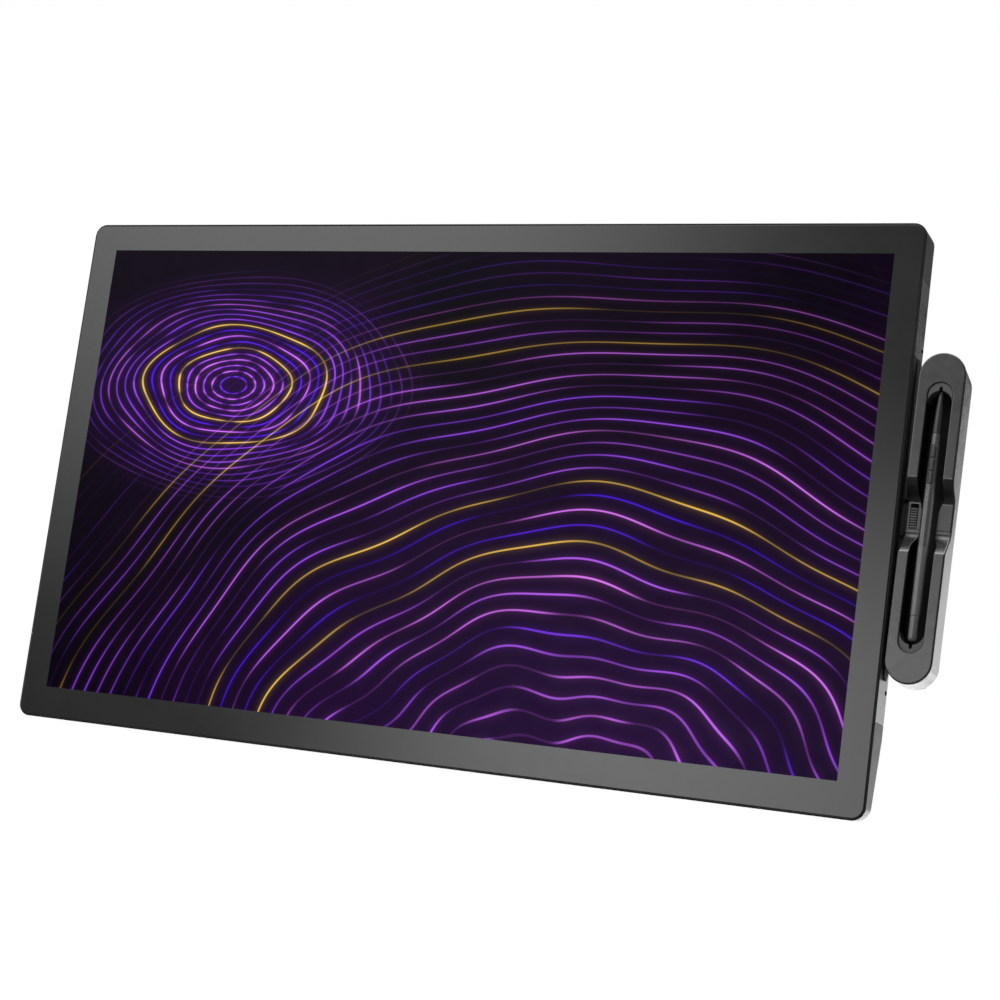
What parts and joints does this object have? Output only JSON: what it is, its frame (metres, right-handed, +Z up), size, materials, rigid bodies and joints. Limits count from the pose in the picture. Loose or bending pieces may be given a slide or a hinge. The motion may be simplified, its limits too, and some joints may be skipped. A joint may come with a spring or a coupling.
{
  "type": "graphics tablet with screen",
  "caption": "Wide pen display with a flat dark-bordered glass front, rear wall-mount pattern, sprung rear keys and a swivelling side tray that holds a stylus",
  "frame": {"origin": "centre of the rear square bolt pattern, on the mounting plate's rear face", "axes": "+X to the user's right, +Z up, the screen faces -Y"},
  "size_m": [0.6713, 0.031, 0.3796],
  "materials": {
    "etched_glass": "fine etched front, satin",
    "panel_film": "dark, semi-gloss",
    "acrylic": "clear, polished",
    "white_film": "matt white",
    "sheet_metal": "bare sheet",
    "dark_plastic": "fine moulded texture",
    "back_plastic": "fine moulded texture",
    "rail_metal": "bead-blasted, satin",
    "steel": "brushed",
    "black_steel": "black, satin",
    "circuit_board": "solder mask",
    "cable_film": "polyimide film",
    "grip_rubber": "soft, matt",
    "key_plastic": "satin",
    "socket_metal": "nickel plated",
    "tray_dark": "satin",
    "tray_silver": "satin",
    "pen_plastic": "satin",
    "nib_plastic": "matt"
  },
  "bodies": {
    "display": {"cover_glass": "etched_glass", "touch_sensor": "acrylic", "lcd_panel": "panel_film", "optical_sheets": "white_film", "light_guide": "acrylic", "led_bar": "circuit_board", "backlight_tray": "sheet_metal", "pen_sensor_board": "circuit_board", "bezel_frame": "dark_plastic", "side_rail_left": "rail_metal", "side_rail_right": "rail_metal", "chassis_plate": "sheet_metal", "wall_mount_plate": "black_steel", "main_board": "circuit_board", "power_board": "circuit_board", "board_screws": "steel", "video_sockets": "socket_metal", "usb_c_sockets": "socket_metal", "usb_a_sockets": "socket_metal", "power_socket": "dark_plastic", "heat_sink": "sheet_metal", "fan_housing_left": "dark_plastic", "fan_housing_right": "dark_plastic", "panel_cable": "cable_film", "rear_cover": "back_plastic", "rear_housing": "back_plastic", "cover_screws": "black_steel", "housing_screws": "black_steel", "rear_grip_left": "grip_rubber", "rear_grip_right": "grip_rubber", "tray_mount_plate": "black_steel", "mount_plate_screws": "black_steel", "tray_hinge_pin": "steel"},
    "fan_left": {"fan_rotor_left": "dark_plastic"},
    "fan_right": {"fan_rotor_right": "dark_plastic"},
    "power_button": {"power_button": "key_plastic"},
    "touch_switch": {"touch_switch": "key_plastic"},
    "cable_cover": {"cable_cover": "back_plastic"},
    "tray": {"tray_top": "tray_dark", "tray_body": "tray_silver", "tray_back": "tray_silver", "tray_screws": "black_steel", "pen_rests": "nib_plastic"},
    "tray_catch": {"tray_catch": "tray_dark"},
    "pen": {"pen_barrel": "pen_plastic", "pen_cone": "pen_plastic", "pen_tail_cap": "pen_plastic", "pen_circuit": "circuit_board"},
    "pen_nib": {"pen_nib": "nib_plastic"},
    "pen_switch_upper": {"pen_switch_upper": "key_plastic"},
    "pen_switch_middle": {"pen_switch_middle": "key_plastic"},
    "pen_switch_lower": {"pen_switch_lower": "key_plastic"},
    "express_key_left_1": {"express_key_left_1": "key_plastic"},
    "express_key_left_2": {"express_key_left_2": "key_plastic"},
    "express_key_left_3": {"express_key_left_3": "key_plastic"},
    "express_key_left_4": {"express_key_left_4": "key_plastic"},
    "express_key_right_1": {"express_key_right_1": "key_plastic"},
    "express_key_right_2": {"express_key_right_2": "key_plastic"},
    "express_key_right_3": {"express_key_right_3": "key_plastic"},
    "express_key_right_4": {"express_key_right_4": "key_plastic"}
  },
  "joints": [
    {"name": "fan_left_spin", "type": "hinge", "parent": "display", "child": "fan_left", "pos_m": [-0.13, -0.012, 0.025], "axis": [0, 1, 0], "continuous": true},
    {"name": "fan_right_spin", "type": "hinge", "parent": "display", "child": "fan_right", "pos_m": [0.13, -0.012, 0.025], "axis": [0, 1, 0], "continuous": true},
    {"name": "power_button_press", "type": "slide", "parent": "display", "child": "power_button", "axis": [0, 0, -1], "range_m": [0, 0.0005], "stiffness_N_per_m": 400, "springref_m": -0.002},
    {"name": "touch_switch_slide", "type": "slide", "parent": "display", "child": "touch_switch", "axis": [1, 0, 0], "range_m": [0, 0.003]},
    {"name": "cable_cover_lift", "type": "slide", "parent": "display", "child": "cable_cover", "axis": [0, 1, 0], "range_m": [0, 0.03]},
    {"name": "tray_swivel", "type": "hinge", "parent": "display", "child": "tray", "pos_m": [0.3265, -0.011, 0.00114], "axis": [0.014, 0, 0.9999], "range_deg": [0, 30]},
    {"name": "tray_catch_slide", "type": "slide", "parent": "tray", "child": "tray_catch", "axis": [0.014, 0, 0.9999], "range_m": [0, 0.0025], "stiffness_N_per_m": 300, "springref_m": -0.002},
    {"name": "pen_lift", "type": "slide", "parent": "tray", "child": "pen", "axis": [0, -1, 0], "range_m": [0, 0.03]},
    {"name": "pen_nib_press", "type": "slide", "parent": "pen", "child": "pen_nib", "axis": [-0.014, 0, -0.9999], "range_m": [0, 0.0005], "stiffness_N_per_m": 400, "springref_m": -0.001},
    {"name": "pen_switch_upper_press", "type": "slide", "parent": "pen", "child": "pen_switch_upper", "axis": [0, 1, 0], "range_m": [0, 0.0003], "stiffness_N_per_m": 400, "springref_m": -0.002},
    {"name": "pen_switch_middle_press", "type": "slide", "parent": "pen", "child": "pen_switch_middle", "axis": [0, 1, 0], "range_m": [0, 0.0003], "stiffness_N_per_m": 400, "springref_m": -0.002},
    {"name": "pen_switch_lower_press", "type": "slide", "parent": "pen", "child": "pen_switch_lower", "axis": [0, 1, 0], "range_m": [0, 0.0003], "stiffness_N_per_m": 400, "springref_m": -0.002},
    {"name": "express_key_left_1_press", "type": "slide", "parent": "display", "child": "express_key_left_1", "axis": [0, -1, 0], "range_m": [0, 0.0008], "stiffness_N_per_m": 400, "springref_m": -0.002},
    {"name": "express_key_left_2_press", "type": "slide", "parent": "display", "child": "express_key_left_2", "axis": [0, -1, 0], "range_m": [0, 0.0008], "stiffness_N_per_m": 400, "springref_m": -0.002},
    {"name": "express_key_left_3_press", "type": "slide", "parent": "display", "child": "express_key_left_3", "axis": [0, -1, 0], "range_m": [0, 0.0008], "stiffness_N_per_m": 400, "springref_m": -0.002},
    {"name": "express_key_left_4_press", "type": "slide", "parent": "display", "child": "express_key_left_4", "axis": [0, -1, 0], "range_m": [0, 0.0008], "stiffness_N_per_m": 400, "springref_m": -0.002},
    {"name": "express_key_right_1_press", "type": "slide", "parent": "display", "child": "express_key_right_1", "axis": [0, -1, 0], "range_m": [0, 0.0008], "stiffness_N_per_m": 400, "springref_m": -0.002},
    {"name": "express_key_right_2_press", "type": "slide", "parent": "display", "child": "express_key_right_2", "axis": [0, -1, 0], "range_m": [0, 0.0008], "stiffness_N_per_m": 400, "springref_m": -0.002},
    {"name": "express_key_right_3_press", "type": "slide", "parent": "display", "child": "express_key_right_3", "axis": [0, -1, 0], "range_m": [0, 0.0008], "stiffness_N_per_m": 400, "springref_m": -0.002},
    {"name": "express_key_right_4_press", "type": "slide", "parent": "display", "child": "express_key_right_4", "axis": [0, -1, 0], "range_m": [0, 0.0008], "stiffness_N_per_m": 400, "springref_m": -0.002}
  ]
}
